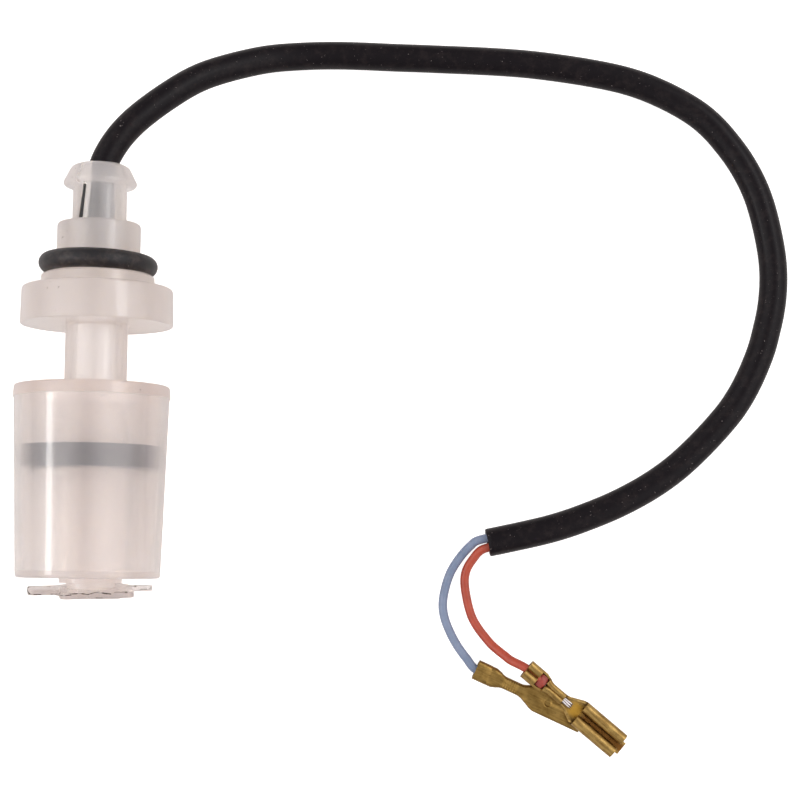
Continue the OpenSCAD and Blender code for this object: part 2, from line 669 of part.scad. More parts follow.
// The floor's sides stand up and roll in, and press a tab down on the floor
module box_section() {
    wall_h = box_h - roll_r;
    translate([-box_w / 2 + chamfer, 0]) square([box_w - 2 * chamfer, strip_t]);
    for (side = [0, 1]) mirror([side, 0]) translate([box_w / 2 - roll_r, 0]) {
        translate([roll_r - strip_t, chamfer]) square([strip_t, wall_h - chamfer]);
        translate([roll_r - strip_t - chamfer, 0]) square([strip_t, strip_t]);
        difference() {
            translate([0, wall_h]) circle(r = roll_r);
            translate([0, wall_h]) circle(r = roll_r - strip_t);
            translate([0, wall_h - 2 * roll_r - 0.15]) square([2 * roll_r, 2 * roll_r + 0.15]);
            translate([-2 * roll_r, wall_h - 2 * roll_r - 0.15]) square([2 * roll_r, 2 * roll_r]);
        }
    }
}

// A side wall stands on the floor's edge between two half-widths and two heights
module side_wall(side, x1, half1, rise1, x2, half2, rise2) {
    run = norm([x2 - x1, half2 - half1]);
    turn = atan2(half2 - half1, x2 - x1);
    mirror([0, side > 0 ? 0 : 1, 0]) translate([x1, half1, 0]) rotate([90, 0, turn])
        linear_extrude(strip_t) polygon([[-fit, 0], [run + fit, 0], [run + fit, rise2], [-fit, rise1]]);
}

module terminal_red() {
    place_red() terminal();
}

module terminal_blue() {
    place_blue() terminal();
}

module strands_red() {
    place_red() strands();
}

module strands_blue() {
    place_blue() strands();
}

module place_red() {
    translate(terminal_red_at) rotate([0, 0, terminal_red_turn]) children();
}

// The blue wire's receptacle lies on its rolled side, with its floor up
module place_blue() {
    translate(terminal_blue_at) rotate([0, 0, terminal_blue_turn]) rotate([180, 0, 0]) children();
}

switch_body();
o_ring();
float_cup();
float_lid();
ring_magnet();
retaining_clip();
potting_plug();
reed_capsule();
reed_cushion();
reed_blade_upper();
reed_blade_lower();
ferrule_upper();
ferrule_lower();
inner_wire_blue();
inner_wire_red();
lead_sleeve();
wire_blue();
wire_red();
strands_blue();
strands_red();
terminal_blue();
terminal_red();
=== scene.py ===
"""Looks of the float level switch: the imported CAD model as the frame, with its cords, formed terminals,
materials, lights and camera. Lengths are in millimetres and become metres where Blender needs them."""

import math
import random

import bmesh
import bpy
from mathutils import Matrix, Vector
from mathutils.bvhtree import BVHTree


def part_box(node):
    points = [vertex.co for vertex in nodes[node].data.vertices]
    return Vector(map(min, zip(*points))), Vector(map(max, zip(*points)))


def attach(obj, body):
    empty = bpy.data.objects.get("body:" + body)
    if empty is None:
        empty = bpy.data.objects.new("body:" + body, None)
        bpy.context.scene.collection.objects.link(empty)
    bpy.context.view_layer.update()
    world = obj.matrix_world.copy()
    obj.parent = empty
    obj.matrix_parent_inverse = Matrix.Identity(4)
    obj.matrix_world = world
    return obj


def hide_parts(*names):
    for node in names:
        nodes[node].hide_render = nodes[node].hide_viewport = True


MM = 0.001

# ---------------------------------------------------------------- frame
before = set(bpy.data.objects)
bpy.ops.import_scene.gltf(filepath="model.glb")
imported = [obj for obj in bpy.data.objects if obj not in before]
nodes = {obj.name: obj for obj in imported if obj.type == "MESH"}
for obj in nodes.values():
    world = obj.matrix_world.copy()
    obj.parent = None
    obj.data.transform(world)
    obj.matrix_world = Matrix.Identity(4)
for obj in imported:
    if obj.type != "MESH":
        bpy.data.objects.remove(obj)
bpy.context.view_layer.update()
scene = bpy.context.scene
TABLE_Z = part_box("switch_body")[0].z / MM

# ---------------------------------------------------------------- camera
CAMERA_AT = Vector((40.1, -37.6, 255.9))
CAMERA_TILT_DEG = (-5.09, 0.30, -0.60)  # turns about X, Y and Z that take the world to the camera
FOCAL_PX = 1900
PHOTO_PX = 800
SENSOR_MM = 36
NEAR_M, FAR_M = 0.01, 10


def camera_place():
    """The camera's matrix in metres."""
    tilt_x, tilt_y, tilt_z = (math.radians(a) for a in CAMERA_TILT_DEG)
    to_camera = (Matrix.Rotation(tilt_x, 4, "X") @ Matrix.Rotation(tilt_y, 4, "Y")
                 @ Matrix.Rotation(tilt_z, 4, "Z"))
    return Matrix.Translation(CAMERA_AT * MM) @ to_camera.inverted()


def make_camera():
    data = bpy.data.cameras.new("camera")
    data.sensor_width = SENSOR_MM
    data.lens = SENSOR_MM * FOCAL_PX / PHOTO_PX
    data.clip_start = NEAR_M
    data.clip_end = FAR_M
    camera = bpy.data.objects.new("camera", data)
    camera.matrix_world = camera_place()
    scene.collection.objects.link(camera)
    scene.camera = camera


# ---------------------------------------------------------------- routes of the cords
SLEEVE_D = 3.9
SLEEVE_BORE_D = 3
SLEEVE_SIDES = 48
MOUTH_LIP = 0.12  # of the sleeve's cut end, which is slightly rounded
WIRE_D = 1.22
WIRE_SIDES = 24
WIRE_X = 0.65  # from the sleeve's axis to each wire's
SLEEVE_LIE_Z = TABLE_Z + SLEEVE_D / 2
WIRE_LIE_Z = TABLE_Z + WIRE_D / 2
# X, Y and how far the sleeve has come down from the stem's axis to the table
SLEEVE_START = [(0, 4.9, 0), (0, 10.9, 0), (0, 15.5, 0)]
SLEEVE_FREE = [(1.5, 19.5, 0.02), (4.5, 23.5, 0.11), (9.5, 28, 0.33), (14, 31, 0.54),
               (20.5, 33.5, 0.8), (25.5, 34.5, 0.94), (32, 34.9, 1), (40, 34.7, 1),
               (47.5, 34.5, 1), (58.5, 34, 1), (69.5, 32.5, 1), (76.5, 30.5, 1), (83, 27, 1),
               (87, 23, 1), (90, 18.5, 1), (92, 13.5, 1), (93.4, 6.5, 1), (93.4, 1, 1),
               (92.5, -3.8, 1), (91, -8.5, 1), (87.5, -15, 1), (80.5, -22.5, 1),
               (74, -27, 1), (67.5, -30, 1), (61.5, -32, 1), (53.6, -33.8, 1)]
# X, Y and height above the table that a wire lies on
BLUE_FREE = [(52, -33.6, 1.1), (50.5, -35, 0.6), (48.5, -38, 0.1), (47.5, -42, 0),
             (48, -45, 0.05), (49.5, -48, 0.2), (51, -50, 0.4)]
RED_FREE = [(52.5, -35, 1), (51, -37, 0.5), (50.5, -39.5, 0.1), (51.5, -44, 0.05),
            (53.5, -47, 0.5), (55, -48.5, 1.1), (57, -50, 2)]
COARSE_ROUNDS, FINE_ROUNDS = 1, 2  # of smoothing, for what the wires follow and then for the skin
MOUTH_POINTS = 4  # points of the sleeve's coarse path that the wires share inside its mouth


def smooth(points, low, rounds):
    """The route with new points between its own by the four-point rule; every old point stays."""
    for _ in range(rounds):
        last = len(points) - 1
        finer = []
        for i in range(last):
            a, b, c, d = (points[j] for j in (max(i - 1, 0), i, i + 1, min(i + 2, last)))
            middle = (b + c) * 9 / 16 - (a + d) / 16
            middle.z = max(middle.z, low)
            finer += [b, middle]
        points = finer + [points[last]]
    return points


def run_at(path, i):
    """The path's direction at one of its points."""
    return (path[min(i + 1, len(path) - 1)] - path[max(i - 1, 0)]).normalized()


def side_at(path, i):
    """The level direction across the path at one of its points."""
    return Vector((0, 0, 1)).cross(run_at(path, i)).normalized()


def path_length(path):
    return sum((b - a).length for a, b in zip(path, path[1:]))


# ---------------------------------------------------------------- mesh helpers
def new_object(name, verts, faces):
    mesh = bpy.data.meshes.new(name)
    mesh.from_pydata([tuple(Vector(v) * MM) for v in verts], [], faces)
    mesh.validate()
    mesh.update()
    for polygon in mesh.polygons:
        polygon.use_smooth = True
    obj = bpy.data.objects.new(name, mesh)
    scene.collection.objects.link(obj)
    return obj


def object_from(name, mesh):
    """A new object with the bmesh as its mesh; the bmesh is freed."""
    data = bpy.data.meshes.new(name)
    mesh.to_mesh(data)
    mesh.free()
    obj = bpy.data.objects.new(name, data)
    scene.collection.objects.link(obj)
    return obj


def skin_faces(first, rings, sides):
    """Faces of a closed skin over rings of points, of which the first point has the number first."""
    faces = [(first + i * sides + k, first + i * sides + (k + 1) % sides,
              first + (i + 1) * sides + (k + 1) % sides, first + (i + 1) * sides + k)
             for i in range(rings - 1) for k in range(sides)]
    near_end = tuple(first + k for k in range(sides - 1, -1, -1))
    far_end = tuple(first + (rings - 1) * sides + k for k in range(sides))
    return faces + [near_end, far_end]


def rings_to_mesh(name, rings):
    """A closed skin over rings with the same number of points."""
    verts = [p for ring in rings for p in ring]
    return new_object(name, verts, skin_faces(0, len(rings), len(rings[0])))


def ring_round(path, i, radius, sides):
    """Points of a circle round the path, square to it."""
    side = side_at(path, i)
    rise = run_at(path, i).cross(side)
    return [path[i] + radius * (math.cos(2 * math.pi * k / sides) * side
                                + math.sin(2 * math.pi * k / sides) * rise)
            for k in range(sides)]


def round_edges(obj, radius, steps, sharp_deg):
    """Rounds the edges that are sharper than an angle."""
    edge = obj.modifiers.new("edge", "BEVEL")
    edge.width = radius * MM
    edge.segments = steps
    edge.limit_method = "ANGLE"
    edge.angle_limit = math.radians(sharp_deg)
    obj.modifiers.new("normals", "WEIGHTED_NORMAL")


# ---------------------------------------------------------------- node helpers
class NodeTree:
    """Short calls for new nodes in a node tree."""

    def __init__(self, tree):
        self.tree = tree

    def node(self, kind, inputs=None, **settings):
        made = self.tree.nodes.new("ShaderNode" + kind)
        for key, value in settings.items():
            setattr(made, key, value)
        for key, value in (inputs or {}).items():
            if isinstance(value, bpy.types.NodeSocket):
                self.tree.links.new(value, made.inputs[key])
            else:
                made.inputs[key].default_value = value
        return made

    def ramp(self, value, low, high, out_low=0.0, out_high=1.0):
        return self.node("MapRange", {"Value": value, "From Min": low, "From Max": high,
                                      "To Min": out_low, "To Max": out_high}).outputs["Result"]

    def math(self, operation, a, b=0.0):
        return self.node("Math", {0: a, 1: b}, operation=operation).outputs[0]


class Shader(NodeTree):
    """A material with one Principled shader, and short calls for what feeds it."""

    def __init__(self, name, **constants):
        self.material = bpy.data.materials.new(name)
        self.material.use_nodes = True
        super().__init__(self.material.node_tree)
        self.shader = self.tree.nodes["Principled BSDF"]
        self.output = self.tree.nodes["Material Output"]
        for key, value in constants.items():
            socket = key.replace("_", " ").title().replace("Ior", "IOR")
            self.shader.inputs[socket].default_value = value

    def link(self, socket, name):
        self.tree.links.new(socket, self.shader.inputs[name])

    def place(self, stretch=(1, 1, 1)):
        """Place on the object in millimetres, stretched along its axes."""
        where = self.node("TexCoord").outputs["Object"]
        return self.node("VectorMath", {0: where, 1: [s / MM for s in stretch]},
                         operation="MULTIPLY").outputs[0]

    def noise(self, scale, detail=3, stretch=(1, 1, 1), roughness=0.5):
        return self.node("TexNoise", {"Vector": self.place(stretch), "Scale": scale,
                                      "Detail": detail, "Roughness": roughness}).outputs["Fac"]

    def mix(self, share, a, b):
        """The colour between a and b, each a socket or three numbers."""
        made = self.node("Mix", data_type="RGBA")
        for index, value in ((0, share), (6, a), (7, b)):
            if isinstance(value, bpy.types.NodeSocket):
                self.tree.links.new(value, made.inputs[index])
            elif index == 0:
                made.inputs[index].default_value = value
            else:
                made.inputs[index].default_value = (*value, 1)
        return made.outputs[2]

    def bump(self, height, distance, strength):
        made = self.node("Bump", {"Height": height, "Distance": distance * MM,
                                  "Strength": strength})
        self.link(made.outputs["Normal"], "Normal")


def paint(obj, material):
    obj.data.materials.clear()
    obj.data.materials.append(material)


# ---------------------------------------------------------------- materials
SPECK = (0.12, 0.1, 0.08)
MILK = (0.9, 0.92, 1, 1)
BLACK = (0.005, 0.003, 0.0045)
BLOOM_AND_SHEEN = (0.06, 0.043, 0.04)
DUST = (0.2, 0.17, 0.165)
# colours of a painted glint on the throat's floor and of painted shade in the gap between the rolls
THROAT_GLINT = (0.56, 0.31, 0.045)
GAP_SHADE = (0.16, 0.06, 0.012)
FERRITE_DARK, FERRITE_PALE = (0.012, 0.009, 0.015), (0.09, 0.075, 0.09)
BLEED_SHARES, BLEED_M = (0.5, 0.3, 0.2), 0.0005  # of light under the skin of the insulation


def polypropylene(name, gloss, milk=600, stain_and_shade=60, left=(0.92, 0.8, 0.73),
                  skin=(0.995, 0.975, 0.97), tooled=0.0):
    """Natural polypropylene: a glossy skin over a milky body that blurs what lies behind it.

    gloss is the skin's roughness, milk and stain_and_shade are the body's densities of scattering and of
    absorption, left is the colour that the absorption leaves, and tooled is how deep the turning lines
    are.
    Where the absorption is raised to darken a part that gets less light, it is painted shade.
    """
    m = Shader(name, transmission_weight=0.97, ior=1.45, roughness=0.22, coat_weight=1,
               coat_roughness=gloss)
    specks = m.ramp(m.noise(2.6, detail=1), 0.765, 0.79, 0, 0.6)
    m.link(m.mix(specks, skin, SPECK), "Base Color")
    lines = m.math("MULTIPLY", m.noise(1, stretch=(0.05, 4, 0.05)), tooled)
    m.bump(m.math("ADD", m.noise(0.8, detail=4), lines), distance=0.02, strength=0.25)
    scatter = m.node("VolumeScatter", {"Color": MILK, "Density": milk, "Anisotropy": 0.75})
    absorb = m.node("VolumeAbsorption", {"Color": (*left, 1), "Density": stain_and_shade})
    body = m.node("AddShader", {0: scatter.outputs[0], 1: absorb.outputs[0]})
    m.tree.links.new(body.outputs[0], m.output.inputs["Volume"])
    return m.material


def black_rubber(name, shine, mottle, roughness=0.45):
    """Black rubber: a dull skin with fine pits, pale specks of dust and a mottled brownish bloom, whose
    lighter patches on the sleeve are partly painted sheen.
    """
    m = Shader(name, roughness=roughness, specular_ior_level=shine)
    bloom_and_sheen = m.ramp(m.noise(0.6, detail=6, roughness=0.75), 0.48, 0.72, 0, mottle)
    dust = m.ramp(m.noise(4, detail=2), 0.72, 0.76)
    m.link(m.mix(dust, m.mix(bloom_and_sheen, BLACK, BLOOM_AND_SHEEN), DUST), "Base Color")
    m.bump(m.noise(2, detail=6), distance=0.03, strength=0.6)
    return m.material


def insulation(name, colour, dark):
    """Satin insulation, faintly mottled between two colours."""
    m = Shader(name, roughness=0.38, subsurface_weight=0.15, subsurface_radius=BLEED_SHARES,
               subsurface_scale=BLEED_M)
    m.link(m.mix(m.ramp(m.noise(0.5, detail=2), 0.35, 0.7), colour, dark), "Base Color")
    m.bump(m.noise(3, detail=3), distance=0.01, strength=0.5)
    return m.material


def brass_colour(m, along, across, tarnish, inside):
    """Tarnish, with a painted glint where the rolls reflect light onto the throat and painted shade in
    their gap.
    """
    throat_ends = m.math("MULTIPLY", m.ramp(along, THROAT_X + 1, THROAT_X + 1.9),
                         m.ramp(along, BOX_X + 0.6, BOX_X))
    in_throat = m.math("MULTIPLY", throat_ends, m.ramp(across, 1.3, 0.7))
    in_gap = m.math("MULTIPLY", m.ramp(along, BOX_X + 0.2, BOX_X + 1.2), m.ramp(across, 0.8, 0.3))
    shade = m.mix(m.math("MULTIPLY", in_throat, inside), tarnish, THROAT_GLINT)
    return m.mix(m.math("MULTIPLY", in_gap, inside), shade, GAP_SHADE)


def crimp_ridges(m, along, across):
    """Ridges across the back of the core's crimp, between -1 and 1, and level beside it."""
    ridges = m.math("SINE", m.math("MULTIPLY", along, 2 * math.pi / RIDGE_STEP))
    rises = m.ramp(along, CRIMP_X + 0.5, CRIMP_X + 0.9)
    falls = m.ramp(along, THROAT_X, THROAT_X - 0.4)
    on_back = m.ramp(across, 1.7, 1.2)
    return m.math("MULTIPLY", ridges, m.math("MULTIPLY", on_back, m.math("MULTIPLY", rises, falls)))


def brass(name, clean, tarnished, inside=0.0):
    """Rolled strip: dull, streaked along its length, with the tool's ridges on the crimp's back; inside
    is how strongly the painted glint and painted shade show.
    """
    m = Shader(name, metallic=1)
    strip = m.node("UVMap", uv_map="strip").outputs["UV"]
    parts = m.node("SeparateXYZ", {0: strip})
    along = parts.outputs["X"]
    across = m.math("ABSOLUTE", parts.outputs["Y"])
    drawn = m.node("VectorMath", {0: strip, 1: (0.3, 4, 1)}, operation="MULTIPLY").outputs[0]
    streaks = m.node("TexNoise", {"Vector": drawn, "Scale": 1.1, "Detail": 5}).outputs["Fac"]
    patches = m.noise(0.7, detail=6, roughness=0.65)
    worn = m.math("ADD", m.math("MULTIPLY", streaks, 0.45), m.math("MULTIPLY", patches, 0.55))
    tarnish = m.mix(m.ramp(worn, 0.38, 0.64), clean, tarnished)
    m.link(brass_colour(m, along, across, tarnish, inside), "Base Color")
    m.link(m.ramp(m.noise(1.3, detail=5), 0.3, 0.7, 0.26, 0.46), "Roughness")
    relief = m.math("MULTIPLY", crimp_ridges(m, along, across), 2.5)
    grain = m.math("ADD", m.math("MULTIPLY", streaks, 0.6), m.noise(5, detail=4, roughness=0.7))
    m.bump(m.math("ADD", relief, grain), distance=0.02, strength=0.7)
    return m.material


def ferrite(name):
    """Sintered ferrite with fine turning lines round it and darker and paler patches."""
    m = Shader(name, roughness=0.6)
    patches = m.noise(0.16, detail=2)
    lines = m.noise(1, stretch=(0.1, 5, 0.1))
    tone = m.math("ADD", m.math("MULTIPLY", patches, 0.6), m.math("MULTIPLY", lines, 0.4))
    m.link(m.mix(m.ramp(tone, 0.36, 0.64), FERRITE_DARK, FERRITE_PALE), "Base Color")
    m.bump(lines, distance=0.02, strength=0.5)
    return m.material


def plain(name, colour, roughness, metallic=0.0):
    """One colour, faintly mottled in tone and in gloss."""
    m = Shader(name, metallic=metallic)
    m.link(m.mix(m.noise(2, detail=4), colour, tuple(c * 0.8 for c in colour)), "Base Color")
    gloss = m.ramp(m.noise(4), 0.2, 0.8, roughness - 0.08, roughness + 0.08)
    m.link(gloss, "Roughness")
    return m.material


# ---------------------------------------------------------------- cords
def make_sleeve():
    """The sleeve, hollow at its mouth, and the coarse path that the wires share with it there."""
    route = [Vector(p) for p in SLEEVE_START]
    route += [Vector((x, y, down * SLEEVE_LIE_Z)) for x, y, down in SLEEVE_FREE]
    coarse = smooth(route, SLEEVE_LIE_Z, COARSE_ROUNDS)
    path = smooth(coarse, SLEEVE_LIE_Z, FINE_ROUNDS)
    rings = [ring_round(path, i, SLEEVE_D / 2, SLEEVE_SIDES) for i in range(len(path))]
    last = len(path) - 1
    back = (path[last - 1] - path[last]).normalized()
    rings[-1] = [p + back * MOUTH_LIP for p in rings[-1]]
    rings.append(ring_round(path, last, SLEEVE_D / 2 - MOUTH_LIP, SLEEVE_SIDES))
    rings.append(ring_round(path, last, SLEEVE_BORE_D / 2 + MOUTH_LIP, SLEEVE_SIDES))
    mouth_end = last - (MOUTH_POINTS - 1) * 2 ** FINE_ROUNDS
    rings += [ring_round(path, i, SLEEVE_BORE_D / 2, SLEEVE_SIDES)
              for i in range(last - 1, mouth_end, -1)]
    sleeve = rings_to_mesh("sleeve", rings)
    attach(sleeve, "switch")
    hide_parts("lead_sleeve")
    path_length(path) * MM
    [p * MM for p in path]
    return sleeve, coarse


def make_wire(name, node, shift, route, end, coarse):
    """A wire from inside the sleeve's mouth, beside its axis, over its free route to its crimp."""
    last = len(coarse) - 1
    mouth = [coarse[i] + shift * side_at(coarse, i)
             for i in range(last - MOUTH_POINTS + 1, last + 1)]
    free = [Vector((x, y, up + WIRE_LIE_Z)) for x, y, up in route]
    path = smooth(mouth + smooth(free, WIRE_LIE_Z, COARSE_ROUNDS) + end, WIRE_LIE_Z, FINE_ROUNDS)
    rings = [ring_round(path, i, WIRE_D / 2, WIRE_SIDES) for i in range(len(path))]
    wire = rings_to_mesh(name, rings)
    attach(wire, "switch")
    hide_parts(node)
    leaves = coarse[last] + shift * side_at(coarse, last)
    path_length(path) * MM
    [p * MM for p in path]
    return wire


# ---------------------------------------------------------------- terminals
# A receptacle is one strip of brass: X runs from its tail, Y across it, Z up from its floor's underside
STRIP_T = 0.35
GRIP_L = 2
WINDOW_L = 1.4
CRIMP_X = GRIP_L + WINDOW_L
THROAT_X = 6.5
BOX_X = 9.4
BOX_L = 6.9
BOX_W = 3.85
BOX_H = 2.2
ROLL_GAP = 0.55
TONGUE_L = 0.7
WIRE_RISE = 1.01  # of the wire's axis in the grip
RIDGE_STEP = 0.36  # between the ridges that the crimping tool leaves on the back
DIMPLE_X, DIMPLE_R, DIMPLE_H = 10.92, 0.6, 0.16
DIMPLE_SLOPE = 3.5  # how steeply the dimple's edge rises to its flat top
STRIP_EDGE_R, STRIP_EDGE_STEPS, STRIP_SHARP_DEG = 0.06, 2, 50
MERGE_WITHIN = 0.001
BLUE_AT, BLUE_TURN_DEG = Vector((52.1, -51.25, TABLE_Z + BOX_H)), -24.3
RED_AT, RED_TURN_DEG = Vector((59, -51, TABLE_Z + BOX_H + 0.02)), -39.5
FLOOR_POINTS, CORNER_POINTS, WALL_POINTS, ROLLED_WALL_POINTS = 18, 4, 16, 3

box_fold = BOX_W / 2 - STRIP_T / 2
roll_r = (BOX_W - ROLL_GAP) / 4 - STRIP_T / 2
box_rise = BOX_H - STRIP_T / 2 - roll_r
# Stations of the strip: X, half-width, corner radius, wall height, roll radius and roll angle
GRIP = [(0, 1.23, 0.45, 1.5, 0.53, 215),
        (0.15, 1.21, 0.45, 1.5, 0.52, 215),
        (GRIP_L, 1.21, 0.45, 1.5, 0.52, 215)]
WINDOW = [(GRIP_L, 1.2, 0.45, 1.05, 0, 0),
          (2.7, 1.2, 0.45, 0.85, 0, 0),
          (CRIMP_X, 0.98, 0.35, 0.9, 0, 0)]
CRIMP = [(CRIMP_X, 0.98, 0.35, 1.1, 0.4, 180),
         (3.8, 0.78, 0.3, 1.15, 0.33, 200),
         (4.3, 0.67, 0.25, 1.2, 0.29, 215),
         (THROAT_X, 0.67, 0.25, 1.2, 0.29, 215)]
THROAT = [(THROAT_X, 0.67, 0.25, 1.2, 0, 0),
          (6.8, 0.69, 0.25, 0.95, 0, 0),
          (7.3, 0.83, 0.25, 0.78, 0, 0),
          (8.2, 1.25, 0.22, 0.85, 0, 0),
          (8.9, 1.6, 0.2, 1.2, 0, 0),
          (BOX_X, box_fold, 0.2, box_rise, 0, 0)]
dimple_stations = [DIMPLE_X + DIMPLE_R * k / 6 for k in range(-6, 7)]
BOX = [(x, box_fold, 0.2, box_rise, roll_r, 235)
       for x in (BOX_X, *dimple_stations, BOX_X + BOX_L)]
TONGUE_POINTS = 11  # how many of the box's floor points on each side the tongue keeps


def arc_points(centre_y, centre_z, radius, start_deg, end_deg, count):
    """Points of an arc in a section, without its first one."""
    turns = [math.radians(start_deg + (end_deg - start_deg) * k / count)
             for k in range(1, count + 1)]
    return [(centre_y + radius * math.cos(t), centre_z + radius * math.sin(t)) for t in turns]


def half_section(width, corner, height, roll, sweep):
    """The sheet's middle, from the strip's middle along the floor, up the wall and round its roll."""
    low = STRIP_T / 2
    flat = width - corner
    points = [(flat * k / FLOOR_POINTS, low) for k in range(FLOOR_POINTS + 1)]
    points += arc_points(flat, low + corner, corner, -90, 0, CORNER_POINTS)
    up = ROLLED_WALL_POINTS if roll else WALL_POINTS
    start = low + corner
    points += [(width, start + (height - start) * k / up) for k in range(1, up + 1)]
    if roll:
        points += arc_points(width - roll, height, roll, 0, sweep, WALL_POINTS - up)
    return points


def dent(x, y, z):
    """How far the locking dimple lifts a point of the floor."""
    away = math.hypot(x - DIMPLE_X, y) / DIMPLE_R
    if away >= 1 or z >= STRIP_T:
        return 0
    return DIMPLE_H * min(1, DIMPLE_SLOPE * (1 - away))


def strip_grid(mesh, uv, stations, keep=None):
    """A stretch of the strip as a sheet between its stations; its UV map is the strip laid out flat."""
    rows, flats = [], []
    for x, *shape in stations:
        half = half_section(*shape)
        half = half[:keep] if keep else half
        out = [0]
        for a, b in zip(half, half[1:]):
            out.append(out[-1] + math.dist(a, b))
        across = [(-y, z) for y, z in reversed(half[1:])] + half
        rows.append([mesh.verts.new((x, y, z + dent(x, y, z))) for y, z in across])
        flats.append([(x, -far) for far in reversed(out[1:])] + [(x, far) for far in out])
    for i in range(len(rows) - 1):
        for k in range(len(rows[i]) - 1):
            corners = ((i, k), (i, k + 1), (i + 1, k + 1), (i + 1, k))
            face = mesh.faces.new([rows[a][b] for a, b in corners])
            face.smooth = True
            for loop, (a, b) in zip(face.loops, corners):
                loop[uv].uv = flats[a][b]


def make_terminal(name, node, place):
    """A receptacle as one folded sheet with its metal's thickness and slightly rounded edges."""
    mesh = bmesh.new()
    uv = mesh.loops.layers.uv.new("strip")
    for stations in (GRIP, WINDOW, CRIMP, THROAT, BOX):
        strip_grid(mesh, uv, stations)
    tongue = [(x, *BOX[1][1:]) for x in (BOX_X + BOX_L, BOX_X + BOX_L + TONGUE_L)]
    strip_grid(mesh, uv, tongue, keep=TONGUE_POINTS + 1)
    bmesh.ops.remove_doubles(mesh, verts=mesh.verts, dist=MERGE_WITHIN)
    bmesh.ops.transform(mesh, matrix=Matrix.Scale(MM, 4) @ place, verts=mesh.verts)
    terminal = object_from(name, mesh)
    sheet = terminal.modifiers.new("sheet", "SOLIDIFY")
    sheet.thickness = STRIP_T * MM
    sheet.offset = 0
    sheet.use_even_offset = True
    round_edges(terminal, STRIP_EDGE_R, STRIP_EDGE_STEPS, STRIP_SHARP_DEG)
    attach(terminal, "switch")
    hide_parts(node)
    return terminal


def placed(at, turn_deg, flipped):
    """Where a receptacle lies, turned about Z and, if flipped, with its back up."""
    over = Matrix.Rotation(math.pi if flipped else 0, 4, "X")
    return Matrix.Translation(at) @ Matrix.Rotation(math.radians(turn_deg), 4, "Z") @ over


blue_place = placed(BLUE_AT, BLUE_TURN_DEG, True)
red_place = placed(RED_AT, RED_TURN_DEG, False)


WIRE_ENDS_X = (-0.1, GRIP_L + WINDOW_L / 2)


def crimp_points(place):
    """The wire's last points, before the grip and in the window behind it."""
    return [place @ Vector((x, 0, WIRE_RISE)) for x in WIRE_ENDS_X]


STRANDS = 7  # one in the middle and six round it
STRAND_D = 0.25
STRAND_PITCH = 0.27
STRAND_RISE = 0.84
STRAND_START, STRAND_END = GRIP_L + 0.5, 8.05
STRAND_SHORT = 0.45  # by which the shortest strand may miss the end
STRAND_SPREAD = (0.02, 0.12)
STRAND_LAY = 0.12  # radians per millimetre
STRAND_STEPS, STRAND_SIDES = 11, 10
STRAND_TIP = 0.8  # share of the radius that is left at the cut end


def strand_path(place, index, uneven):
    """The middle line of a strand, with a slight lay, that spreads and ends in the throat."""
    end = STRAND_END - uneven.uniform(0, STRAND_SHORT)
    spread = uneven.uniform(*STRAND_SPREAD)
    points = []
    for k in range(STRAND_STEPS + 1):
        x = STRAND_START + (end - STRAND_START) * k / STRAND_STEPS
        turn = 2 * math.pi * index / (STRANDS - 1) + STRAND_LAY * (x - CRIMP_X)
        free = max(0, x - THROAT_X) / (STRAND_END - THROAT_X)
        away = (STRAND_PITCH if index else 0) + spread * free
        across, up = away * math.cos(turn), away * math.sin(turn)
        points.append(place @ Vector((x, across, STRAND_RISE + up)))
    return points


def make_strands(name, node, place, seed):
    uneven = random.Random(seed)
    verts, faces = [], []
    for index in range(STRANDS):
        path = strand_path(place, index, uneven)
        faces += skin_faces(len(verts), len(path), STRAND_SIDES)
        for i in range(len(path)):
            tip = STRAND_TIP if i == len(path) - 1 else 1
            verts += ring_round(path, i, STRAND_D / 2 * tip, STRAND_SIDES)
    strands = new_object(name, verts, faces)
    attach(strands, "switch")
    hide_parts(node)
    return strands


# Stations of the insulation's pinched end between the crimps: X, half-width, half-height and rise
STUMP = [(GRIP_L - 0.05, 0.62, 0.5, 0.98),
         (GRIP_L + 0.12, 0.8, 0.6, 0.99),
         (GRIP_L + 0.4, 0.93, 0.64, 1.02),
         (GRIP_L + 0.95, 0.94, 0.63, 1.01),
         (GRIP_L + 1.25, 0.8, 0.55, 0.97),
         (GRIP_L + 1.38, 0.6, 0.4, 0.93)]
STUMP_SIDES = 32


def make_stump(name, place):
    turns = [2 * math.pi * k / STUMP_SIDES for k in range(STUMP_SIDES)]
    rings = [[place @ Vector((x, wide * math.cos(t), rise + high * math.sin(t))) for t in turns]
             for x, wide, high, rise in STUMP]
    stump = rings_to_mesh(name, rings)
    stump.modifiers.new("round", "SUBSURF").render_levels = 2
    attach(stump, "switch")
    return stump


# ---------------------------------------------------------------- black filling in the slot of the head
BOSS_TOP_Y = 8.8
BARB_LOW_Y = 13.85
SLOT_W, SLIT_W, SLOT_LEAN = 0.65, 0.14, 0.55
SLOT_TURN_DEG = 41
WEDGE_RISE = 0.8  # of the slot's wedge above the barb's low edge
NECK_R = 3.675
FILL_LOW_Y, FILL_HIGH_Y = BOSS_TOP_Y + 0.05, BARB_LOW_Y - 0.15
FILL_STEPS = 14
FILL_LOW_R = 2.0
FILL_PLAY = 0.02  # between the black filling and the slot's edges
FILL_DEEP, FILL_SHALLOW = 0.25, 0.05  # of its face below the neck's skin, on the left and on the right
FACE_SHARE, FACE_STEP, FACE_MOST = 0.45, 0.09, 0.9  # of the slot's width, where the face comes level
SMEAR_W, SMEAR_T = 0.5, 0.02  # of the black layer that lies on the neck beside the slot
SMEAR_LIFT = 0.001  # of its underside above the skin
SMEAR_START, SMEAR_EDGE = 0.01, 0.03  # of its underside beside the slot, and its outer edge's slope
SMEAR_SINK = 0.04  # of its surface where it meets the face in the slot
SMEAR_WAVE, SMEAR_WAVE_TURN = 0.04, 1.4  # of its outer edge, and how far the wave turns per step


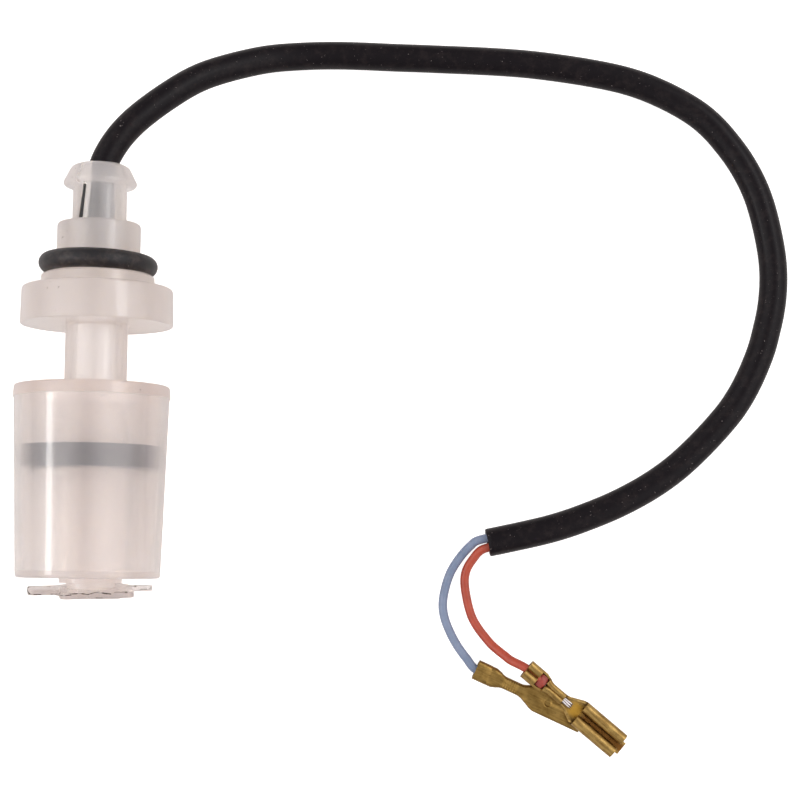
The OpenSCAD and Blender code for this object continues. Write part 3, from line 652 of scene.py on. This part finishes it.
def fill_corners(left, right, step):
    """A section of the black filling between the slot's edges, as places across it and out from the stem.
    """
    smear = right + SMEAR_W - SMEAR_WAVE * abs(math.sin(SMEAR_WAVE_TURN * step))
    level = left + min(FACE_SHARE + FACE_STEP * step, FACE_MOST) * (right - left)
    skin = [(right, -FILL_SHALLOW), (right + SMEAR_START, SMEAR_LIFT), (smear, SMEAR_LIFT),
            (smear - SMEAR_EDGE, SMEAR_T), ((level + smear) / 2, SMEAR_T),
            (level, SMEAR_T - SMEAR_SINK), (left, -FILL_DEEP)]
    return [(left, FILL_LOW_R), (right, FILL_LOW_R)] + [
        (across, math.sqrt((NECK_R + above) ** 2 - across * across)) for across, above in skin]


def make_slot_fill():
    """A black piece that fills the neck's slot, narrows with it and spreads over one edge."""
    to_head = Matrix.Rotation(math.radians(-SLOT_TURN_DEG), 4, "Y")
    rings = []
    for i in range(FILL_STEPS + 1):
        y = FILL_LOW_Y + (FILL_HIGH_Y - FILL_LOW_Y) * i / FILL_STEPS
        up = (y - BOSS_TOP_Y) / (BARB_LOW_Y + WEDGE_RISE - BOSS_TOP_Y)
        left = -SLOT_W / 2 + (SLOT_W + SLOT_LEAN - SLIT_W) * up + FILL_PLAY
        right = SLOT_W / 2 + SLOT_LEAN * up - FILL_PLAY
        rings.append([to_head @ Vector((across, y, out))
                      for across, out in fill_corners(left, right, i)])
    black_fill = rings_to_mesh("slot_fill", rings)
    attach(black_fill, "switch")
    return black_fill


# ---------------------------------------------------------------- clip
CLIP_EDGE_R, CLIP_EDGE_STEPS, CLIP_SHARP_DEG = 0.22, 3, 40
WELD_WITHIN = 0.002
GRIME_SEED = 5
GRIME_STEP_PX = 0.45
GRAIN_SHARES = (0.6, 1.3)  # of a line's grain size
GRAIN_STRETCH = (1, 1.6)
GRAIN_FLATNESS = 0.4
# Lines of grime on the clip as pixels of the photograph, with their grain size and how much is covered
GRIME_LINES_PX = [
    ([(29.5, 586.6), (28, 588), (27.4, 590.5), (28.6, 593), (31, 594.4)], 0.08, 0.7),
    ([(31, 586.2), (36, 585.8), (41, 585.8)], 0.06, 0.5),
    ([(33, 594.6), (41, 594.6)], 0.07, 0.7),
    ([(46.5, 586.8), (50, 586.6)], 0.09, 0.9),
    ([(50, 594.2), (57, 594)], 0.05, 0.4),
    ([(62, 586.8), (65, 586.2), (70, 586.4), (76.5, 587)], 0.07, 0.75),
    ([(67.1, 586), (67.3, 588.8)], 0.09, 1),
    ([(68.5, 586.4), (66, 587)], 0.09, 0.9),
    ([(72, 594), (80.5, 593.4), (87.5, 594.6)], 0.07, 0.75),
    ([(87.5, 594.6), (94.5, 592.7), (99, 592.2), (104.5, 593.4), (110.5, 594)], 0.08, 0.8),
    ([(94.5, 592.4), (99, 592)], 0.11, 0.9),
    ([(114.5, 592.4), (120, 592), (127, 592.4)], 0.09, 0.85),
    ([(59.5, 595.4), (65, 595.6), (71, 595)], 0.06, 0.6),
    ([(60, 591), (60, 596)], 0.06, 0.5),
    ([(96, 598), (104.5, 598)], 0.06, 0.6),
    ([(78, 589.5), (92, 590.6)], 0.045, 0.4),
    ([(126.5, 586.2), (131, 585.8), (136, 586.2)], 0.09, 0.9),
    ([(140, 589.4), (150.5, 589)], 0.055, 0.5),
    ([(151, 586), (150.8, 588.5)], 0.06, 0.7)]


def round_clip(clip):
    """The clip's moulded edges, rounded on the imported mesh."""
    weld = clip.modifiers.new("weld", "WELD")
    weld.merge_threshold = WELD_WITHIN * MM
    round_edges(clip, CLIP_EDGE_R, CLIP_EDGE_STEPS, CLIP_SHARP_DEG)


def seen_on(tree, near, x, y):
    """The place on a surface that shows at a pixel, or the closest one to its line of sight."""
    eye = camera_place()
    half = PHOTO_PX / 2
    look = eye.to_3x3() @ Vector(((x - half) / FOCAL_PX, (half - y) / FOCAL_PX, -1))
    at, up, _, _ = tree.ray_cast(eye.translation, look)
    if at is None:
        reach = (eye.translation.z - near) / -look.z
        at, up, _, _ = tree.find_nearest(eye.translation + look * reach)
    return at / MM, up


def grain_pixels(uneven):
    """The pixel and the size of each grain, line by line."""
    for line, size, cover in GRIME_LINES_PX:
        for a, b in zip(line, line[1:]):
            steps = max(1, round(math.dist(a, b) / GRIME_STEP_PX))
            for k in range(steps):
                if uneven.random() > cover:
                    continue
                share = (k + uneven.random()) / steps
                yield a[0] + share * (b[0] - a[0]), a[1] + share * (b[1] - a[1]), size


def grain_place(at, up, size, uneven):
    """The matrix that presses a unit ball flat on the surface as one uneven grain."""
    size *= uneven.uniform(*GRAIN_SHARES)
    turn = up.to_track_quat("Z", "Y").to_matrix().to_4x4()
    spin = Matrix.Rotation(uneven.uniform(0, math.pi), 4, "Z")
    long_side = size * uneven.uniform(*GRAIN_STRETCH)
    flat = Matrix.Diagonal((long_side, size, size * GRAIN_FLATNESS, 1))
    return Matrix.Scale(MM, 4) @ Matrix.Translation(at) @ turn @ spin @ flat


def make_grime(clip):
    """Grains of dark dirt along the clip's edges, pressed flat on its surface."""
    uneven = random.Random(GRIME_SEED)
    bpy.context.view_layer.update()
    tree = BVHTree.FromObject(clip, bpy.context.evaluated_depsgraph_get())
    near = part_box("retaining_clip")[1].z
    grains = bmesh.new()
    for x, y, size in grain_pixels(uneven):
        at, up = seen_on(tree, near, x, y)
        place = grain_place(at, up, size, uneven)
        bmesh.ops.create_icosphere(grains, subdivisions=1, radius=1, matrix=place)
    grime = object_from("clip_grime", grains)
    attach(grime, "switch")
    return grime


# ---------------------------------------------------------------- stage
STRIP_FAR_M = 0.7
# Angle from the zenith towards +X, low and high end along Y in metres, width in metres and radiance;
# the left one's angle follows from the place of the highlight on the float
STRIP_LIGHTS = {"strip_left": (-55, -0.18, 0.03, 0.13, 5),
                "strip_right": (45, 0.05, 0.6, 0.2, 2)}
SIDE_GLOW = 1.75  # of the wide soft lights, halfway up on the left and on the right
TOP_GLOW = 0.42
WALL_GLOW = 0.85  # what a low camera sees behind the floor
FLOOR_GLOW = 0.8  # the paper shines white for the camera, and lights the switch only as paper does
FLOOR_M, FLOOR_X_M = 3, 0.04
PAPER_DARK, PAPER_PALE = (0.78, 0.74, 0.725), (0.81, 0.77, 0.755)
BOUNCES = {"max_bounces": 64, "volume_bounces": 32, "transmission_bounces": 24,
           "glossy_bounces": 24, "diffuse_bounces": 12, "transparent_max_bounces": 24}


def strip_light(name, turn_deg, low_y, high_y, width, radiance):
    """A strip along Y that faces the stem, at an angle from the zenith towards +X."""
    data = bpy.data.lights.new(name, "AREA")
    data.shape = "RECTANGLE"
    data.size = high_y - low_y
    data.size_y = width
    data.energy = math.pi * radiance * data.size * data.size_y
    turn = math.radians(turn_deg)
    away = Vector((math.sin(turn), 0, math.cos(turn)))
    light = bpy.data.objects.new(name, data)
    light.location = away * STRIP_FAR_M + Vector((0, (low_y + high_y) / 2, 0))
    light.rotation_euler = away.to_track_quat("Z", "Y").to_euler()
    scene.collection.objects.link(light)


def make_floor():
    bpy.ops.mesh.primitive_plane_add(size=FLOOR_M, location=(FLOOR_X_M, 0, TABLE_Z * MM))
    floor = bpy.context.object
    floor.name = "floor"
    m = Shader("floor_white", roughness=0.6, emission_color=(1, 1, 1, 1))
    m.link(m.mix(m.noise(0.02), PAPER_DARK, PAPER_PALE), "Base Color")
    camera_sees = m.node("LightPath").outputs["Is Camera Ray"]
    m.link(m.math("MULTIPLY", camera_sees, FLOOR_GLOW), "Emission Strength")
    paint(floor, m.material)


def make_world():
    """Two wide soft lights, left and right of a darker zenith, and a pale wall for the camera."""
    world = bpy.data.worlds.new("studio")
    world.use_nodes = True
    studio = NodeTree(world.node_tree)
    towards = studio.node("SeparateXYZ", {0: studio.node("TexCoord").outputs["Generated"]})
    aside = studio.math("ABSOLUTE", towards.outputs["X"])
    halfway = studio.math("MULTIPLY", aside, towards.outputs["Z"])  # 0.5 where both are equal
    glow = studio.ramp(halfway, 0, 0.5, TOP_GLOW, SIDE_GLOW)
    camera_sees = studio.node("LightPath").outputs["Is Camera Ray"]
    shown = studio.node("Mix", {"Factor": camera_sees, "A": glow, "B": WALL_GLOW})
    background = studio.tree.nodes["Background"]
    background.inputs["Color"].default_value = (1, 1, 1, 1)
    studio.tree.links.new(shown.outputs["Result"], background.inputs["Strength"])
    scene.world = world


def make_stage():
    make_floor()
    for name, shape in STRIP_LIGHTS.items():
        strip_light(name, *shape)
    make_world()
    scene.view_settings.view_transform = "Standard"
    scene.cycles.blur_glossy = 0  # any blur darkens what light reaches through the plastic
    for name, count in BOUNCES.items():
        setattr(scene.cycles, name, count)


# ---------------------------------------------------------------- the object
make_camera()
sleeve, coarse_path = make_sleeve()
receptacle_blue = make_terminal("receptacle_blue", "terminal_blue", blue_place)
receptacle_red = make_terminal("receptacle_red", "terminal_red", red_place)
insulation_blue = make_wire("insulation_blue", "wire_blue", -WIRE_X, BLUE_FREE,
                            crimp_points(blue_place), coarse_path)
insulation_red = make_wire("insulation_red", "wire_red", WIRE_X, RED_FREE,
                           crimp_points(red_place), coarse_path)
strands_blue = make_strands("strand_bundle_blue", "strands_blue", blue_place, seed=3)
strands_red = make_strands("strand_bundle_red", "strands_red", red_place, seed=8)
stump_blue = make_stump("stump_blue", blue_place)
stump_red = make_stump("stump_red", red_place)
slot_fill = make_slot_fill()
round_clip(nodes["retaining_clip"])
clip_grime = make_grime(nodes["retaining_clip"])

STEEL = (0.6, 0.58, 0.55)
FERRULE_BRASS = (0.5, 0.33, 0.12)
TIN = (0.8, 0.74, 0.74)
LEAD_IN_RESIN = (0.8, 0.79, 0.82)  # the inner wires, paled by the resin round them
LOOKS = [
    (nodes["switch_body"], polypropylene("pp_body", gloss=0.2, milk=800)),
    (nodes["float_cup"], polypropylene("pp_cup", gloss=0.1, milk=550, skin=(0.98, 0.955, 0.945),
                                       tooled=0.6)),
    (nodes["float_lid"], polypropylene("pp_lid", gloss=0.2, stain_and_shade=105)),
    # The clip's strong, dark absorption is painted shade: it darkens the clip for the less light that
    # reaches the bottom of the switch.
    (nodes["retaining_clip"], polypropylene("pp_clip", gloss=0.25, stain_and_shade=200,
                                            left=(0.7, 0.6, 0.55))),
    (nodes["o_ring"], black_rubber("rubber", 0.4, 0.7)),
    (nodes["ring_magnet"], ferrite("ferrite_look")),
    (nodes["potting_plug"], plain("potting_resin", (0.97, 0.96, 0.97), 0.4)),
    (nodes["reed_capsule"], plain("capsule_glass_look", (0.5, 0.6, 0.58), 0.2)),
    (nodes["reed_cushion"], plain("cushion", (0.7, 0.7, 0.68), 0.5)),
    (nodes["reed_blade_upper"], plain("reed_steel", STEEL, 0.35, metallic=1)),
    (nodes["reed_blade_lower"], plain("reed_steel_b", STEEL, 0.35, metallic=1)),
    (nodes["ferrule_upper"], plain("ferrule_brass_look", FERRULE_BRASS, 0.4, metallic=1)),
    (nodes["ferrule_lower"], plain("ferrule_brass_b", FERRULE_BRASS, 0.4, metallic=1)),
    (nodes["inner_wire_blue"], plain("inner_blue", LEAD_IN_RESIN, 0.5)),
    (nodes["inner_wire_red"], plain("inner_red", LEAD_IN_RESIN, 0.5)),
    # The blue receptacle's brass has darker colours than the red one's: painted shade, for the dark
    # surroundings that its flat back reflects.
    (receptacle_blue, brass("brass_shaded", (0.34, 0.21, 0.064), (0.17, 0.097, 0.024))),
    # inside gives the red receptacle its painted glint in the throat and painted shade between the rolls
    (receptacle_red, brass("brass_bright", (0.43, 0.28, 0.095), (0.19, 0.105, 0.03), inside=0.85)),
    (strands_blue, plain("strands_tin", TIN, 0.28, metallic=1)),
    (strands_red, plain("strands_tin_b", TIN, 0.28, metallic=1)),
    # The stumps' insulation has darker colours than the wires': painted shade, for the shadow of the
    # crimps round them.
    (stump_blue, insulation("blue_stump_shaded", (0.16, 0.19, 0.28), (0.1, 0.12, 0.18))),
    (stump_red, insulation("red_stump_shaded", (0.34, 0.045, 0.03), (0.24, 0.03, 0.02))),
    (slot_fill, plain("black_fill", (0.012, 0.011, 0.012), 0.6)),
    (clip_grime, plain("grime", (0.035, 0.022, 0.014), 0.7)),
    # On the sleeve the bloom's lighter patches are partly painted sheen, for uneven light along the cord.
    (sleeve, black_rubber("sleeve_rubber", 0.14, 0.22, roughness=0.32)),
    (insulation_blue, insulation("blue_pvc", (0.2, 0.24, 0.35), (0.15, 0.19, 0.29))),
    (insulation_red, insulation("red_pvc", (0.45, 0.062, 0.027), (0.36, 0.047, 0.02))),
]
for piece, look in LOOKS:
    paint(piece, look)
make_stage()
